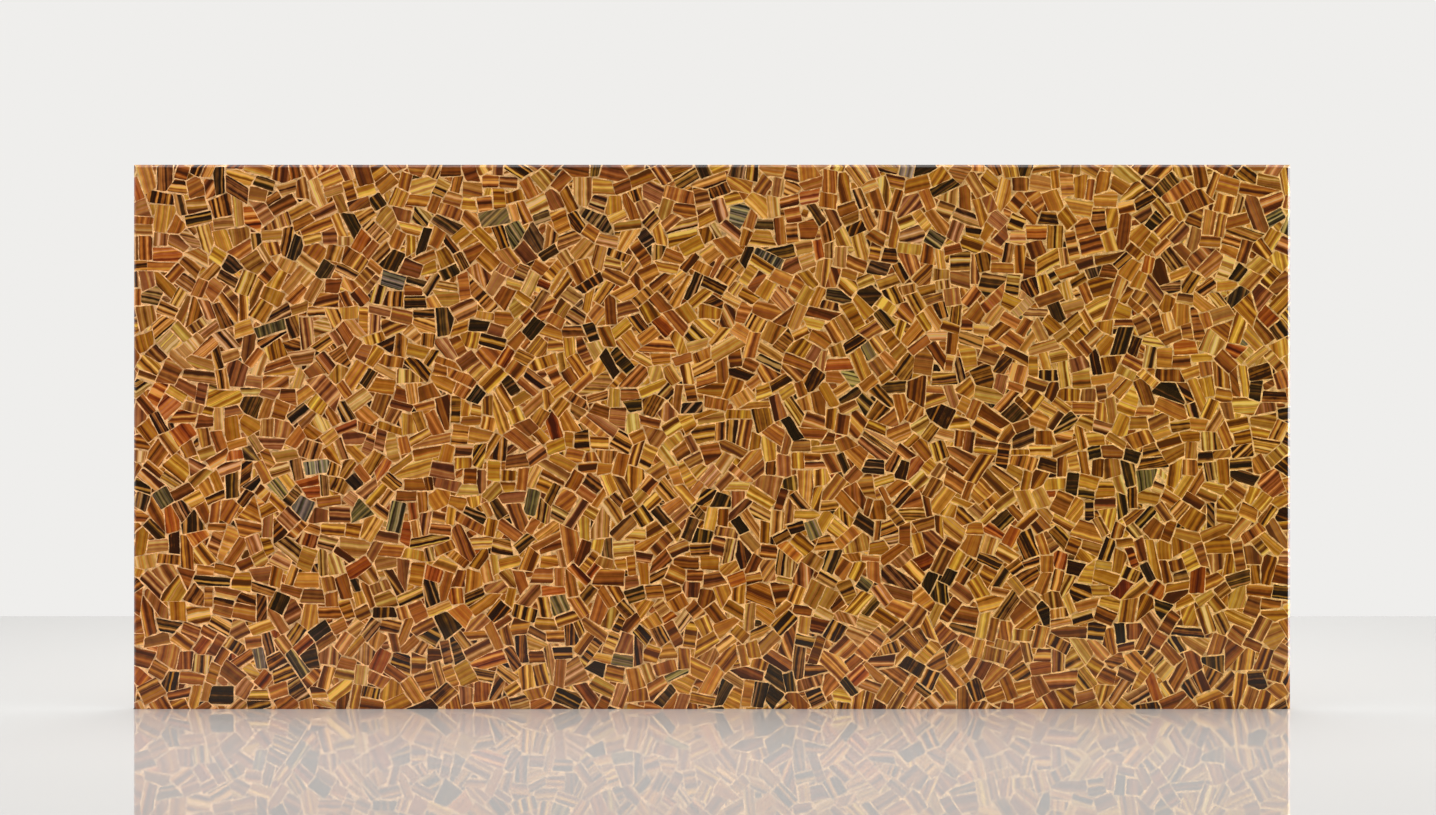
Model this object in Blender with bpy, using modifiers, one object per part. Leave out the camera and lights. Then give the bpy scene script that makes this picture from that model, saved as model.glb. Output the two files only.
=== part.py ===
"""Polished slab of tiger's eye pieces cast in resin, standing on its long edge.

The slab is one solid: the stone pieces are bonded into a block, sawn to a plate and
polished, so nothing in it can be lifted out.

Frame, in metres with +Z up: the length runs along X, the polished face looks to -Y,
and the origin is the middle of the sawn edge that the slab stands on.
"""

import bmesh
import bpy

# Driving dimensions, in metres.
LENGTH = 3.050                # along X, the trade's jumbo format
HEIGHT = 1.435                # along Z
THICKNESS = 0.020             # along Y, the trade's 2 cm plate
ARRIS = 0.007                 # width of the 45 degree eased edge round the polished face

OBJECT_NAME = "tigers_eye_slab"

# The finish of the whole slab.
STONE_COLOUR = (0.420, 0.215, 0.070, 1.0)
STONE_ROUGHNESS = 0.12
STONE_METALLIC = 0.0


def clear_scene():
    """Remove every object that the session starts with."""
    for item in list(bpy.data.objects):
        bpy.data.objects.remove(item, do_unlink=True)


def named_collection(name):
    """Return a new collection linked to the scene."""
    collection = bpy.data.collections.new(name)
    bpy.context.scene.collection.children.link(collection)
    return collection


def polished_stone():
    """Golden brown banded stone with a hard polish."""
    material = bpy.data.materials.new("polished tigers eye")
    material.use_nodes = True
    surface = material.node_tree.nodes["Principled BSDF"]
    surface.inputs["Base Color"].default_value = STONE_COLOUR
    surface.inputs["Roughness"].default_value = STONE_ROUGHNESS
    surface.inputs["Metallic"].default_value = STONE_METALLIC
    return material


def is_eased(edge):
    """True for the top and the two upright edges of the polished face.

    The long edge at the bottom is left square, because the slab stands on it.
    """
    front = all(vertex.co.y < 0.0 for vertex in edge.verts)
    on_the_base = all(vertex.co.z < HEIGHT / 2 for vertex in edge.verts)
    return front and not on_the_base


def make_slab(collection):
    """A plain box standing on the origin, with its eased edges weighted for the bevel."""
    mesh = bpy.data.meshes.new("slab")
    shape = bmesh.new()
    bmesh.ops.create_cube(shape, size=1.0)
    bmesh.ops.scale(shape, vec=(LENGTH, THICKNESS, HEIGHT), verts=shape.verts)
    bmesh.ops.translate(shape, vec=(0.0, 0.0, HEIGHT / 2), verts=shape.verts)
    weight = shape.edges.layers.float.new("bevel_weight_edge")
    for edge in shape.edges:
        edge[weight] = 1.0 if is_eased(edge) else 0.0
    shape.to_mesh(mesh)
    shape.free()

    slab = bpy.data.objects.new("slab", mesh)
    collection.objects.link(slab)
    slab.data.materials.append(polished_stone())

    # One flat segment; its width is measured along the faces that it cuts back.
    easing = slab.modifiers.new("eased edges", "BEVEL")
    easing.limit_method = "WEIGHT"
    easing.offset_type = "OFFSET"
    easing.width = ARRIS
    easing.segments = 1
    easing.profile = 0.5
    return slab


def main():
    clear_scene()
    make_slab(named_collection(OBJECT_NAME))


main()
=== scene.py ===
"""Looks of a polished slab of tiger's eye pieces cast in pale resin.

The slab stands on its long edge. A plate of cast resin takes the place of the CAD solid,
and about three thousand chips of banded stone are set in it, flush with its surface: on
the polished front, round the eased edges, on the four sawn edges and on the honed back.

The file is laid out as an add-on: settings, one operator for each group of pieces, one
panel. Lengths inside the mosaic are millimetres; everything given to Blender is metres.
"""

import functools
import math
from typing import NamedTuple

import bpy
import numpy as np
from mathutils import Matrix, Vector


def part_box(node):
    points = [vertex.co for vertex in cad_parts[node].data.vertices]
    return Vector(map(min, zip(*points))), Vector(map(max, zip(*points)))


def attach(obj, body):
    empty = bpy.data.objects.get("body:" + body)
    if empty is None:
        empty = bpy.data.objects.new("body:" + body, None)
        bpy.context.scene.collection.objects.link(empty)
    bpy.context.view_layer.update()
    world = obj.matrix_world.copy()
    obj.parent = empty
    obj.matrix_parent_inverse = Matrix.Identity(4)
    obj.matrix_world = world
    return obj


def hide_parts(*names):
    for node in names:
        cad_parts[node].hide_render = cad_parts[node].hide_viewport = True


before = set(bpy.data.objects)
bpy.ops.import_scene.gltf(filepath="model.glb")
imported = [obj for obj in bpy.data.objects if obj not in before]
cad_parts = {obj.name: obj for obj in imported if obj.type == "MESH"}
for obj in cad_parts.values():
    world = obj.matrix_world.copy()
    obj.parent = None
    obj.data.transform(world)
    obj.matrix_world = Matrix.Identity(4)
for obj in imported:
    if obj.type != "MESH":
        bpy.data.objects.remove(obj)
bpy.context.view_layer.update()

bl_info = {
    "name": "Tiger's Eye Slab",
    "version": (1, 0, 0),
    "blender": (4, 5, 0),
    "location": "View3D > Sidebar > Slab",
    "description": "Sets banded stone chips into a cast resin plate and lights it",
    "category": "Object",
}

MM = 0.001  # one millimetre in metres
SLAB_NODE = "slab"
BODY = "root"

# The camera, and where the slab stands in its frame, in pixels of the frame.
LENS_MM = 50.0
SENSOR_MM = 36.0
FRAME_PX = (1436, 815)
SLAB_WIDTH_PX = 1155.8
SLAB_MIDDLE_PX = 712.05
SLAB_BASE_PX = 708.6
FLOOR_END_PX = 616.0

# ---------------------------------------------------------------- sizes from the frame


def slab_sizes():
    """Length, thickness, height and eased edge of the CAD slab, in millimetres.

    The eased edge is how far the flat of the front stops short of the end.
    """
    low, high = (np.array(corner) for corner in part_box(SLAB_NODE))
    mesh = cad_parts[SLAB_NODE].data
    points = np.empty(len(mesh.vertices) * 3, np.float32)
    mesh.vertices.foreach_get("co", points)
    points = points.reshape(-1, 3)
    nearly = 0.1 * MM
    on_front = points[:, 1] < low[1] + nearly
    arris = high[0] - points[on_front, 0].max()
    return (*((high - low) / MM), arris / MM)


LENGTH, THICKNESS, HEIGHT, ARRIS = slab_sizes()
HALF_LENGTH = LENGTH / 2
HALF_THICKNESS = THICKNESS / 2

# ------------------------------------------------------------------------------ colour


def linear(code):
    """Turn an sRGB hex code such as "#C08A45" into linear red, green and blue.

    Each channel c is c / 12.92 below 0.04045, and ((c + 0.055) / 1.055) ^ 2.4 above it.
    """
    channels = np.array([int(code[i:i + 2], 16) for i in (1, 3, 5)]) / 255
    low = channels / 12.92
    high = ((channels + 0.055) / 1.055) ** 2.4
    return tuple(float(c) for c in np.where(channels <= 0.04045, low, high))


# -------------------------------------------------------------------------- the mosaic

# Waves in the joints' width: radians per millimetre along and up, and where each starts;
# the share of the mean width that each adds at most, and the least share that is left.
JOINT_WAVES = [(0.145, 0.031, 0.0), (-0.052, 0.098, 2.0), (0.061, 0.132, 4.0)]
JOINT_SWING = 0.62
JOINT_LEAST = 0.1
NEVER = 1e9  # an offset, in millimetres, that no line cuts at


class Outlines(NamedTuple):
    """Convex outlines padded to one length; corners[i, :count[i]] run anticlockwise."""

    corners: np.ndarray  # (outlines, corners, 2)
    count: np.ndarray  # (outlines,)

    def only(self, keep):
        """The outlines to keep, as a mask or as places."""
        return Outlines(self.corners[keep], self.count[keep])

    def padded(self):
        """Corners with the last one repeated past each outline's end."""
        places = np.arange(self.corners.shape[1])[None]
        places = np.minimum(places, np.maximum(self.count, 1)[:, None] - 1)
        return self.corners[np.arange(len(self.count))[:, None], places]


def next_corners(outlines):
    """Which padded places hold a corner, the place of the one after it, and that corner.

    The last corner of an outline is followed by its first.
    """
    corners, count = outlines
    places = np.arange(corners.shape[1])[None]
    after = np.where(places + 1 < count[:, None], places + 1, 0)
    return places < count[:, None], after, np.take_along_axis(corners, after[..., None], 1)


def cut_away(outlines, normal, offset):
    """Keep the part of each outline where normal . point <= offset.

    A side whose ends lie on both sides of the line gains the point where it meets it,
    found by straight proportion of the two distances.
    """
    corners, count = outlines
    real, after, following = next_corners(outlines)
    distance = (corners * normal[:, None]).sum(-1) - offset[:, None]
    inside = (distance <= 0) & real
    if (inside == real).all():
        return outlines
    crosses = (inside != np.take_along_axis(inside, after, 1)) & real
    step = distance - np.take_along_axis(distance, after, 1)
    share = np.where(crosses, distance / np.where(crosses, step, 1), 0)
    met = corners + share[..., None] * (following - corners)

    keep = np.stack([inside, crosses], 2).reshape(len(count), -1)
    merged = np.stack([corners, met], 2).reshape(len(count), -1, 2)
    return closed_up(merged, keep)


def closed_up(corners, keep):
    """Outlines of the corners to keep, moved up to the front of their rows."""
    count = keep.sum(1)
    order = np.argsort(~keep, axis=1, kind="stable")[:, :max(int(count.max(initial=3)), 3)]
    return Outlines(corners[np.arange(len(count))[:, None], order], count)


def cut_all(outlines, normals, offsets):
    """Cut every outline by its own row of lines, one line after another."""
    for k in range(normals.shape[1]):
        outlines = cut_away(outlines, normals[:, k], offsets[:, k])
    return outlines


def sides_of(shapes):
    """Outward unit normal of each side of padded shapes, and whether the side is real."""
    along = np.roll(shapes, -1, axis=1) - shapes
    length = np.hypot(along[..., 0], along[..., 1])
    outward = np.stack([along[..., 1], -along[..., 0]], -1)
    tiny, shortest = 1e-9, 1e-5
    return outward / np.maximum(length, tiny)[..., None], length > shortest


def joint_share(points):
    """How wide the joint is at each point, as a share of the mean, from 0.1 to nearly 3.

    One plus the sum of three sine waves of 40 to 60 mm that run in different directions.
    """
    waves = sum(np.sin(points @ np.array(wave) + phase) for *wave, phase in JOINT_WAVES)
    return np.clip(1 + JOINT_SWING * waves, JOINT_LEAST, None)


def parted(random, outlines, joint):
    """Open the joints: move every side inwards and turn it a little about its middle.

    Both sides of a joint have nearly the same middle, so they move by nearly the same
    share of half the joint: here the chips all but touch, there the resin is thick.
    """
    shapes = outlines.padded()
    normals, real = sides_of(shapes)
    middles = (shapes + np.roll(shapes, -1, axis=1)) / 2
    inwards = joint_share(middles) * joint / 2
    usual_turn = math.radians(1.0)
    turn = random.normal(0, usual_turn, real.shape)
    normals = normals + turn[..., None] * np.stack([-normals[..., 1], normals[..., 0]], -1)
    normals /= np.linalg.norm(normals, axis=-1, keepdims=True) + (~real)[..., None]
    offsets = np.where(real, (normals * middles).sum(-1) - inwards, NEVER)
    return cut_all(outlines, normals, offsets)


def area_and_centre(outlines):
    """Area and centroid of each outline, by the shoelace formula."""
    corners = outlines.corners
    real, _, following = next_corners(outlines)
    cross = corners[..., 0] * following[..., 1] - corners[..., 1] * following[..., 0]
    cross = np.where(real, cross, 0)
    area = cross.sum(1) / 2
    safe = np.where(np.abs(area) < 1e-6, 1, area)
    centre = ((corners + following) * cross[..., None]).sum(1) / (6 * safe)[:, None]
    return area, centre


def mean_width(outlines, area):
    """Twice the area over the way round, which is small for a sliver."""
    rim = outlines.padded()
    edges = np.roll(rim, -1, axis=1) - rim
    return 2 * area / np.maximum(np.hypot(edges[..., 0], edges[..., 1]).sum(1), 1)


def nearest(places, number):
    """The nearest other places to each place, in no order, from all squared distances."""
    square = (places ** 2).sum(1)
    distance = square[:, None] + square[None] - 2 * places @ places.T
    np.fill_diagonal(distance, np.inf)
    return np.argpartition(distance, number, axis=1)[:, :number]


def gaps(places, shapes, pairs):
    """The widest gap between each shape and its neighbours, and the line that shows it.

    Two convex shapes are furthest apart, or overlap least, along the normal of a side of
    one of them. Returns the gap, that normal turned away from the first shape, and how
    far the first shape reaches along it.
    """
    normals, real = sides_of(shapes)
    turned = np.swapaxes(shapes, -1, -2)
    apart = (places[pairs] - places[:, None])[..., None]
    reach = np.matmul(normals, turned).max(-1)

    other_reach = -np.matmul(normals[:, None], turned[pairs]).min(-1)
    own_gap = np.matmul(normals[:, None], apart)[..., 0] - reach[:, None] - other_reach
    own_gap = np.where(real[:, None], own_gap, -NEVER)

    facing = normals[pairs]
    back_reach = -np.matmul(facing, turned[:, None]).min(-1)
    other_gap = -np.matmul(facing, apart)[..., 0] - reach[pairs] - back_reach
    other_gap = np.where(real[pairs], other_gap, -NEVER)

    own, other = own_gap.argmax(-1), other_gap.argmax(-1)
    row, column = np.indices(own.shape)
    own_best, other_best = own_gap[row, column, own], other_gap[row, column, other]
    use_own = own_best >= other_best
    gap = np.where(use_own, own_best, other_best)
    line = np.where(use_own[..., None], normals[row, own], -facing[row, column, other])
    far = np.where(use_own, reach[row, own], back_reach[row, column, other])
    return gap, line, far


def turned_by(shapes, angle):
    """Turn each shape about its own origin."""
    cosine, sine = np.cos(angle)[:, None], np.sin(angle)[:, None]
    x, y = shapes[..., 0], shapes[..., 1]
    return np.stack([cosine * x - sine * y, sine * x + cosine * y], -1)


def sawn_blanks(random, number, mean_area):
    """Four-sided blanks about the origin: area, long-side angle and corners.

    Areas spread log-normally about the mean. A blank is a rectangle 1.15 to 2 times as
    long as wide whose ends lean by a few degrees, and by up to 25 degrees on some.
    """
    area_spread, slight_lean, strong_lean, other_lean = 0.27, 0.07, 0.30, 0.25
    slight_share, parallel_share = 0.62, 0.6
    area = mean_area * np.exp(random.normal(0, area_spread, number))
    aspect = random.uniform(1.15, 2.0, number)
    half_long, half_wide = np.sqrt(area * aspect) / 2, np.sqrt(area / aspect) / 2
    slight, strong = random.normal(0, slight_lean, number), random.normal(0, strong_lean, number)
    lean = np.where(random.random(number) < slight_share, slight, strong)
    far_lean = np.where(random.random(number) < parallel_share, -lean,
                        random.normal(0, other_lean, number))
    along = np.stack([half_long + lean * half_wide, -half_long + far_lean * half_wide,
                      -half_long - far_lean * half_wide, half_long - lean * half_wide], -1)
    across = np.stack([half_wide, half_wide, -half_wide, -half_wide], -1)
    angle = random.uniform(0, math.pi, number)
    return area, angle, turned_by(np.stack([along, across], -1), angle)


def settled(places, angle, shapes, rounds):
    """Shake the blanks down until they lie side by side.

    In each round overlapping blanks push each other apart along the line between them,
    and each turns a little to lie flush with what it touches.
    """
    push, turn, reach, deepest, look_again, neighbours = 0.3, 0.05, 6.0, 30.0, 8, 10
    for k in range(rounds):
        if k % look_again == 0:
            pairs = nearest(places, neighbours)
        gap, line, _ = gaps(places, shapes, pairs)
        touch = np.clip(1 - gap / reach, 0, 1) * (gap > -deepest)
        off = np.arctan2(line[..., 1], line[..., 0]) - angle[:, None]
        off = (off + math.pi / 4) % (math.pi / 2) - math.pi / 4
        swing = (touch * off * np.cos(2 * off)).sum(1) / np.maximum(touch.sum(1), 1) * turn
        angle = angle + swing
        shapes = turned_by(shapes, swing)
        places = places + (np.minimum(gap, 0)[..., None] * line).sum(1) * push
    return places, angle, shapes


def grown_cells(places, angle, area, shapes, passes):
    """Let each blank grow until it meets its neighbours, so that only thin joints stay.

    A line halfway across the widest gap parts each pair, and each blank, enlarged, is cut
    by its own lines. The cell is then drawn back to its wanted area about its centroid
    and the growth repeats. Slivers are dropped, and their neighbours close over them.
    """
    enlarge, slack, most_shrink, thinnest, push, pushes = 1.5, 1.35, 0.85, 8.0, 0.2, 6
    cut_by, pushed_by = 18, 12  # numbers of neighbours
    cells = Outlines(shapes, np.full(len(places), 4))
    for k in range(passes + 1):
        gap, line, far = gaps(places, shapes, nearest(places, cut_by))
        cells = cut_all(cells._replace(corners=shapes * enlarge), line, far + gap / 2)
        size, centre = area_and_centre(cells)
        if k == passes:
            return cells._replace(corners=cells.corners + places[:, None]), angle
        keep = (mean_width(cells, size) > thinnest) & (cells.count > 2)
        cells = cells.only(keep)
        places, angle, area, size, centre = (
            values[keep] for values in (places, angle, area, size, centre))
        places = places + centre
        scale = np.clip(np.sqrt(area * slack / size), most_shrink, 1.0)
        cells = cells._replace(corners=cells.corners - centre[:, None])
        shapes = cells.padded() * scale[:, None, None]
        for _ in range(pushes):
            gap, line, _ = gaps(places, shapes, nearest(places, pushed_by))
            places = places + (np.minimum(gap, 0)[..., None] * line).sum(1) * push


def without_short_sides(outlines, shortest):
    """Drop each corner that lies closer than the shortest side to the next one."""
    real, _, following = next_corners(outlines)
    length = np.linalg.norm(following - outlines.corners, axis=-1)
    return closed_up(outlines.corners, real & (length > shortest))


def distance_beyond(point, normals, corners, real):
    """How far points lie beyond each side of the shapes beside them."""
    return np.where(real, (normals * (point[:, None, None] - corners)).sum(-1), -NEVER)


def pocket_chips(random, outlines, widest, thinnest):
    """Small chips that fill the open pockets between the large ones.

    Pockets are looked for on a fine grid. Each chip is bounded by the nearest sides of
    the chips round it, and by a line midway to any other chip in the same pocket.
    """
    _, centres = area_and_centre(outlines)
    shapes = outlines.padded()
    normals, real = sides_of(shapes)
    low, high = centres.min(0), centres.max(0)
    step, spacing = 0.8 * thinnest, 1.6 * thinnest
    parts, band_reach, beside, in_pocket = 100, 70, 12, 4
    x, z = np.meshgrid(*(np.arange(a, b, step) for a, b in zip(low, high)))
    tries = np.stack([x, z], -1).reshape(-1, 2)

    found, room = [], []
    for part in np.array_split(tries, parts):
        band = np.flatnonzero(np.abs(centres[:, 1] - part[:, 1].mean()) < band_reach)
        square = (centres[band] ** 2).sum(1)[None] - 2 * part @ centres[band].T
        near = band[np.argpartition(square, beside, axis=1)[:, :beside]]
        beyond = distance_beyond(part, normals[near], shapes[near], real[near]).max(-1)
        found.append(near)
        room.append(beyond.min(1))
    near, room = np.concatenate(found), np.concatenate(room)
    keep = room > thinnest / 2
    tries, near, room = tries[keep], near[keep], room[keep]
    apart = np.linalg.norm(tries[:, None] - tries[None], axis=-1)
    best = ((apart > spacing) | (room[:, None] >= room[None])).all(1)
    tries, near = tries[best], near[best]

    beyond = distance_beyond(tries, normals[near], shapes[near], real[near])
    side = beyond.argmax(-1)
    number = len(tries)
    rows, columns = np.arange(number)[:, None], np.arange(near.shape[1])[None]
    _, _, blanks = sawn_blanks(random, number, widest ** 2)
    cells = Outlines(blanks, np.full(number, 4))
    cells = cut_all(cells, -normals[near, side], beyond[rows, columns, side])
    others = nearest(tries, in_pocket)
    between = (tries[others] - tries[:, None]) / 2
    length = np.linalg.norm(between, axis=-1)
    cells = cut_all(cells, between / length[..., None], length)
    cells = cells._replace(corners=cells.corners + tries[:, None])
    width = mean_width(cells, area_and_centre(cells)[0])
    return cells.only((width > thinnest / 2) & (cells.count > 2))


def joined_outlines(first, second):
    """Two sets of outlines as one, padded to the wider of the two."""
    width = max(first.corners.shape[1], second.corners.shape[1])
    padded = [np.pad(part.corners, [(0, 0), (0, width - part.corners.shape[1]), (0, 0)])
              for part in (first, second)]
    return Outlines(np.concatenate(padded), np.concatenate([first.count, second.count]))


def with_broken_sides(random, outlines, bite, nick):
    """Break the straight sides: knock off each corner and pit each side inwards a little.

    Every side becomes four points: where the corner's nick ends, two pits near the thirds
    of the side, each sunk by up to the bite, and where the next corner's nick starts.
    """
    corners, count = outlines
    number, width = corners.shape[:2]
    least_knock, knock_share, pit_share, end_share = 0.25, 0.2, 0.06, 0.3
    first_pit, second_pit = (0.25, 0.42), (0.58, 0.75)  # where on the side
    real, after, following = next_corners(outlines)
    along = following - corners
    length = np.maximum(np.hypot(along[..., 0], along[..., 1]), 1e-6)
    inward = np.stack([-along[..., 1], along[..., 0]], -1) / length[..., None]
    behind = length.copy()
    behind[np.nonzero(real)[0], after[real]] = length[real]
    knocked = random.uniform(least_knock, 1.0, (number, width)) * nick
    knocked = np.minimum(knocked, np.minimum(length, behind) * knock_share)
    share = np.stack([
        knocked / length,
        random.uniform(*first_pit, (number, width)),
        random.uniform(*second_pit, (number, width)),
        1 - np.take_along_axis(knocked, after, 1) / length,
    ], 2)
    deepest = np.minimum(bite, length * pit_share)
    sunk = random.random((number, width, 4)) ** 2 * deepest[..., None]
    sunk[..., [0, 3]] *= end_share
    points = corners[:, :, None] + share[..., None] * along[:, :, None]
    points = (points + sunk[..., None] * inward[:, :, None]).reshape(number, -1, 2)
    return Outlines(points, count * 4)


@functools.lru_cache(maxsize=2)
def mosaic(seed, chip_size, joint):
    """Outlines and long-side angles of the chips that tile the face and a margin round it.

    The blanks start on a grid of staggered rows, each moved a little at random.
    """
    random = np.random.default_rng(seed)
    margin, row_pitch, jitter = 60.0, 0.866, 0.3
    across = np.arange(-HALF_LENGTH - margin, HALF_LENGTH + margin, chip_size)
    up = np.arange(-margin, HEIGHT + margin, chip_size * row_pitch)
    x, z = np.meshgrid(across, up)
    x = x + (np.arange(len(up)) % 2)[:, None] * chip_size / 2
    places = np.stack([x, z], -1).reshape(-1, 2)
    places = places + random.uniform(-jitter, jitter, places.shape) * chip_size

    mean_area = chip_size ** 2 * row_pitch
    area, angle, shapes = sawn_blanks(random, len(places), mean_area)
    places, angle, shapes = settled(places, angle, shapes, rounds=70)
    cells, angle = grown_cells(places, angle, area, shapes, passes=3)
    small = pocket_chips(random, cells, widest=26.0, thinnest=6.0)
    cells = joined_outlines(cells, small)
    angle = np.concatenate([angle, random.uniform(0, math.pi, len(small.count))])
    cells = parted(random, cells, joint)
    cells = without_short_sides(cells, shortest=2.0)
    keep = cells.count > 2
    return cells.only(keep), angle[keep]


# ------------------------------------------------------------------- stone in the chips

GOLDEN, BROWN, STRIPED, DARK, RED, HAWK = range(6)
KIND_NAMES = ("golden", "brown", "striped", "dark", "red", "hawk_eye")

# Where the most conspicuous black chips and the few grey-blue ones lie in the front, in
# pixels of the camera's frame. The other chips of these kinds lie anywhere.
BLACK_CHIPS_PX = [
    (203, 212), (398, 265), (539, 251), (587, 337), (620, 352), (617, 371), (514, 384), (242, 404),
    (701, 288), (747, 259), (783, 248), (806, 217), (869, 290), (935, 187), (891, 387), (1155, 232),
    (1063, 312), (1122, 342), (1026, 410), (1274, 331), (1249, 390), (1229, 461), (1241, 480),
    (1237, 577), (234, 480), (145, 531), (276, 595), (171, 625), (225, 684), (432, 641), (473, 519),
    (496, 505), (517, 547), (568, 692), (662, 511), (706, 528), (724, 492), (874, 522), (1005, 514),
    (1065, 491), (993, 583), (940, 600), (960, 641), (797, 689), (768, 675), (1158, 611), (1204, 666),
]
GREY_CHIPS_PX = [(937, 242), (273, 327), (354, 517), (868, 580)]

# Share of each kind, besides the chips above, and how a golden part of the slab changes
# it: the factor where nothing is yellow, and what is added to that where all is. The
# yellow is the stone's own tone plus the painted golden sheen to the right.
SHARES = {1: (0.30, 0.43, 0.18, 0.050, 0.04, 0.008), -1: (0.30, 0.43, 0.18, 0.075, 0.04, 0.008)}
YELLOW_PULL = ((GOLDEN, 0.6, 1.2), (BROWN, 1.25, -0.6), (RED, 1.4, -0.9))

# Parts of the slab that stand out, as x, height and reach in millimetres: a patch of painted golden
# sheen, a patch of painted shade, and the stone's own greyer parts.
GOLD_SHEEN_AT = (1200, 560, 320)
SHADE_PATCH_AT = (1200, 250, 500)
GREYER = ((-1000, 480, 280), (-1350, 1000, 320))

# Of the chips, the share with bands straight across, and where the askew ones start.
ACROSS_BELOW, ASKEW_ABOVE = 0.17, 0.93

DEEPEST_BITE = 2.0  # how far a chip's side is pitted, in millimetres
LARGEST_NICK = 4.5  # how much of a side is lost at a corner, in millimetres


def in_the_front(pixels):
    """Places in the front, in millimetres, of points given in pixels of the frame."""
    along = (pixels[:, 0] - SLAB_MIDDLE_PX) * LENGTH / SLAB_WIDTH_PX
    return np.stack([along, (SLAB_BASE_PX - pixels[:, 1]) * LENGTH / SLAB_WIDTH_PX], -1)


class Layer(NamedTuple):
    """The chips that show on one face, in that face's own flat coordinates."""

    outlines: Outlines
    centre: np.ndarray
    long_angle: np.ndarray  # direction of the chip's long side
    band_angle: np.ndarray  # direction that the bands run in
    dip: np.ndarray  # how far the bands lean as they go deeper
    shift: np.ndarray  # where in the banding the chip was cut
    # light carries painted light from above and painted shade besides the stone's own tone, and
    # yellow carries painted golden sheen.
    tone: np.ndarray  # light, yellow, iron, contrast
    kind: np.ndarray
    side: int  # 1 for the front, -1 for the back


def kinds_of_stone(random, yellow_and_sheen, side):
    """Draw each chip's kind: golden stone is commoner where the slab is yellower, by its own tone and
    by the painted golden sheen.
    """
    weight = np.repeat([SHARES[side]], len(yellow_and_sheen), 0)
    for kind, plain, gain in YELLOW_PULL:
        weight[:, kind] *= plain + gain * yellow_and_sheen
    total = np.cumsum(weight, axis=1)
    draw = random.random(len(yellow_and_sheen)) * total[:, -1]
    return (draw[:, None] > total).sum(1)


@functools.lru_cache(maxsize=4)
def layer(seed, chip_size, joint, side):
    """Give every chip its stone; the back is the same mosaic turned half round."""
    outlines, angle = mosaic(seed, chip_size, joint)
    if side < 0:
        turned = np.array([0.0, HEIGHT]) - outlines.corners
        outlines = outlines._replace(corners=turned)
    _, centre = area_and_centre(outlines)
    random = np.random.default_rng(seed + (1 if side > 0 else 11))
    number = len(angle)
    outlines = with_broken_sides(random, outlines, DEEPEST_BITE, LARGEST_NICK)

    # Most bands run along a chip, some across it and a few askew.
    slight_turn, most_askew = 0.05, 0.8
    draw = random.random(number)
    band_angle = angle + random.normal(0, slight_turn, number)
    band_angle += np.where(draw < ACROSS_BELOW, math.pi / 2, 0)
    askew = random.uniform(-most_askew, most_askew, number)
    band_angle += np.where(draw > ASKEW_ABOVE, askew, 0)

    def near(x, z, reach):
        """One at a place, falling off round it as exp(-(distance / reach) ^ 2)."""
        return np.exp(-((centre - np.array([side * x, z])) ** 2).sum(1) / reach ** 2)

    # Painted golden sheen makes the chips yellower to the right, most of all low down, as the
    # chatoyant flash of the fibres would; the stone itself is greyer to the left. Painted light
    # makes the chips paler towards the top, and painted shade darkens a patch low on the right.
    # Each level is followed by its gain over the slab's length or height, and by the patch's.
    yellow_level, gold_sheen_gain, gold_sheen_patch, yellow_spread = 0.5, 0.45, 0.3, 0.28
    light_level, painted_light_gain, painted_shade_patch, light_spread, grey_patch = 0.46, 0.09, 0.10, 0.20, 0.3
    yellow_and_sheen = np.clip(yellow_level + gold_sheen_gain * side * centre[:, 0] / LENGTH
                         + gold_sheen_patch * near(*GOLD_SHEEN_AT), 0, 1)
    lightness_and_shade = (light_level + painted_light_gain * centre[:, 1] / HEIGHT
                 - painted_shade_patch * near(*SHADE_PATCH_AT))
    kind = kinds_of_stone(random, yellow_and_sheen, side)
    tone = np.stack([
        lightness_and_shade + random.normal(0, light_spread, number),
        yellow_and_sheen + random.normal(0, yellow_spread, number),
        random.random(number) - grey_patch * sum(near(*part) for part in GREYER),
        random.random(number),
    ], -1)
    if side > 0:
        # A named place goes to the nearest chip that isn't a small one.
        placed_light, placed_spread, placed_iron = 0.48, 0.10, 0.80
        large = np.flatnonzero(area_and_centre(outlines)[0] > chip_size ** 2 / 2)
        for pixels, kind_there in ((BLACK_CHIPS_PX, DARK), (GREY_CHIPS_PX, HAWK)):
            away = centre[large][None] - in_the_front(np.array(pixels))[:, None]
            chosen = large[(away ** 2).sum(-1).argmin(1)]
            kind[chosen] = kind_there
            tone[chosen, 0] = random.normal(placed_light, placed_spread, len(chosen))
            tone[chosen, 2] = placed_iron
    dip_spread, farthest = 0.5, 900
    return Layer(
        outlines, centre, angle, band_angle,
        dip=random.normal(0, dip_spread, number),
        shift=random.uniform(0, farthest, (number, 2)),
        tone=np.clip(tone, 0, 1),
        kind=kind,
        side=side,
    )


# ---------------------------------------------------------------- chips on the surfaces


class Patch(NamedTuple):
    """Outlines on one flat of the slab, and where that flat lies.

    A point (u, v) of an outline is at origin + u * across + v * up, and across x up
    points out of the slab.
    """

    outlines: Outlines
    chip: np.ndarray  # which chip of the layer each outline is
    origin: tuple
    across: tuple
    up: tuple


def kept_part(outlines, cuts):
    """Cut all outlines by the same sawn lines, given as (normal x, normal y, offset)."""
    number, least_area = len(outlines.count), 6.0
    for x, y, offset in cuts:
        normal = np.repeat([[x, y]], number, 0).astype(float)
        outlines = cut_away(outlines, normal, np.full(number, float(offset)))
    outlines = without_short_sides(outlines, shortest=0.3)
    keep = (outlines.count > 2) & (area_and_centre(outlines)[0] > least_area)
    return outlines.only(keep), np.flatnonzero(keep)


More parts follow.
